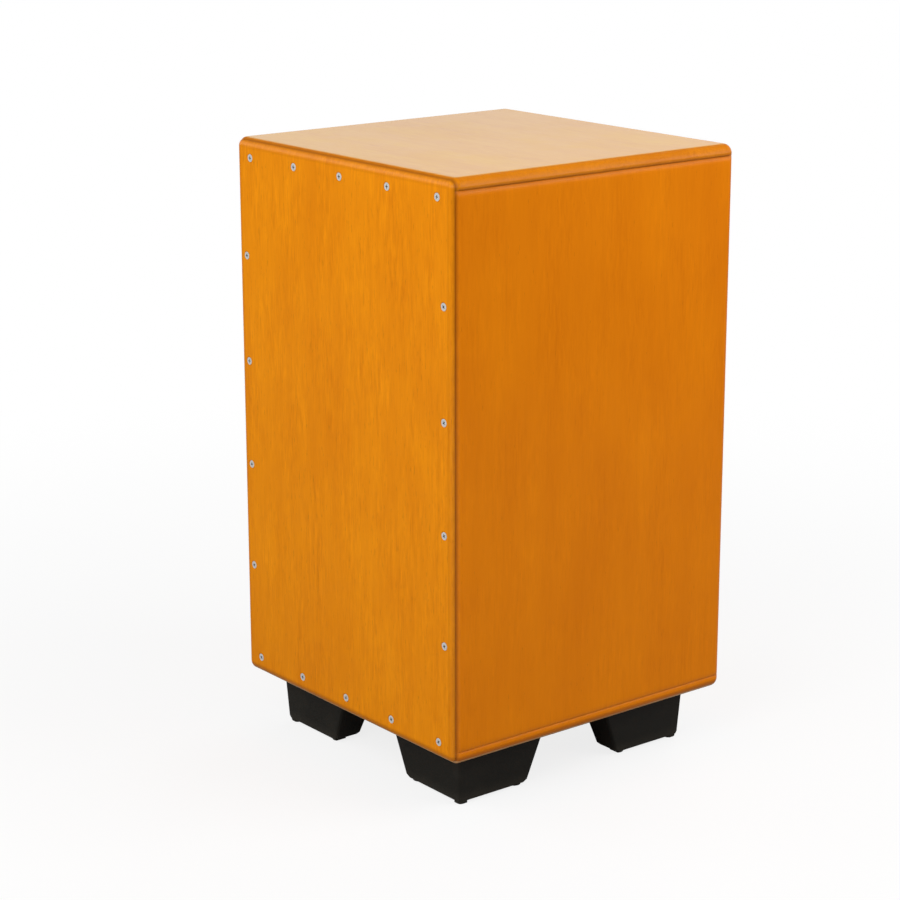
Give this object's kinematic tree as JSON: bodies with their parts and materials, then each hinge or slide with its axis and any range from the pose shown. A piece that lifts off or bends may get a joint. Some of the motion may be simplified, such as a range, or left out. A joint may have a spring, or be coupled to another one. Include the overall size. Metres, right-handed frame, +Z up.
{
  "type": "snare cajon",
  "caption": "Box drum on rubber corner feet, with a screwed-on playing plate, a sound hole in the back and an inside snare bar that swings off the plate and is clamped by wing bolts.",
  "frame": {"origin": "on the floor, below the middle of the box, level with the soles of the feet", "axes": "+Z up, -Y out of the playing plate, +X to the right as seen from the front"},
  "size_m": [0.3, 0.2997, 0.53],
  "materials": {
    "tapa_lacquer": "thin plywood with upright grain under amber gloss lacquer",
    "seat_lacquer": "board under amber gloss lacquer",
    "case_lacquer": "board under amber gloss lacquer",
    "back_lacquer": "thin plywood under amber lacquer",
    "raw_wood": "bare planed softwood",
    "bar_wood": "oiled hardwood",
    "foot_rubber": "matte black moulded rubber",
    "screw_steel": "bright zinc-plated steel",
    "bracket_steel": "zinc-plated sheet steel",
    "insert_brass": "turned brass",
    "snare_steel": "bright spring-steel wire"
  },
  "bodies": {
    "box": {"tapa": "tapa_lacquer", "top_board": "seat_lacquer", "bottom_board": "case_lacquer", "left_side_panel": "case_lacquer", "right_side_panel": "case_lacquer", "back_panel": "back_lacquer", "front_top_batten": "raw_wood", "front_bottom_batten": "raw_wood", "front_left_batten": "raw_wood", "front_right_batten": "raw_wood", "tapa_screw_top_1": "screw_steel", "tapa_screw_top_2": "screw_steel", "tapa_screw_top_3": "screw_steel", "tapa_screw_top_4": "screw_steel", "tapa_screw_top_5": "screw_steel", "tapa_screw_bottom_1": "screw_steel", "tapa_screw_bottom_2": "screw_steel", "tapa_screw_bottom_3": "screw_steel", "tapa_screw_bottom_4": "screw_steel", "tapa_screw_bottom_5": "screw_steel", "tapa_screw_left_1": "screw_steel", "tapa_screw_left_2": "screw_steel", "tapa_screw_left_3": "screw_steel", "tapa_screw_left_4": "screw_steel", "tapa_screw_right_1": "screw_steel", "tapa_screw_right_2": "screw_steel", "tapa_screw_right_3": "screw_steel", "tapa_screw_right_4": "screw_steel", "front_left_foot": "foot_rubber", "front_left_foot_screw_1": "screw_steel", "front_left_foot_screw_2": "screw_steel", "front_right_foot": "foot_rubber", "front_right_foot_screw_1": "screw_steel", "front_right_foot_screw_2": "screw_steel", "rear_right_foot": "foot_rubber", "rear_right_foot_screw_1": "screw_steel", "rear_right_foot_screw_2": "screw_steel", "rear_left_foot": "foot_rubber", "rear_left_foot_screw_1": "screw_steel", "rear_left_foot_screw_2": "screw_steel", "left_snare_bracket": "bracket_steel", "left_bracket_screw_1": "screw_steel", "left_bracket_screw_2": "screw_steel", "right_snare_bracket": "bracket_steel", "right_bracket_screw_1": "screw_steel", "right_bracket_screw_2": "screw_steel"},
    "snare_holder": {"snare_bar": "bar_wood", "left_threaded_insert": "insert_brass", "right_threaded_insert": "insert_brass", "snare_fan_1": "snare_steel", "fan_1_screw_1": "screw_steel", "fan_1_screw_2": "screw_steel", "snare_fan_2": "snare_steel", "fan_2_screw_1": "screw_steel", "fan_2_screw_2": "screw_steel", "snare_fan_3": "snare_steel", "fan_3_screw_1": "screw_steel", "fan_3_screw_2": "screw_steel"},
    "left_wing_bolt": {"left_wing_bolt": "screw_steel"},
    "right_wing_bolt": {"right_wing_bolt": "screw_steel"}
  },
  "joints": [
    {"name": "snare_swing", "type": "hinge", "parent": "box", "child": "snare_holder", "pos_m": [0, -0.10075, 0.46], "axis": [1, 0, 0], "range_deg": [0, 30]},
    {"name": "left_wing_turn", "type": "hinge", "parent": "snare_holder", "child": "left_wing_bolt", "pos_m": [-0.106, -0.10075, 0.46], "axis": [-1, 0, 0], "range_deg": [0, 180]},
    {"name": "right_wing_turn", "type": "hinge", "parent": "snare_holder", "child": "right_wing_bolt", "pos_m": [0.106, -0.10075, 0.46], "axis": [1, 0, 0], "range_deg": [0, 180]}
  ]
}
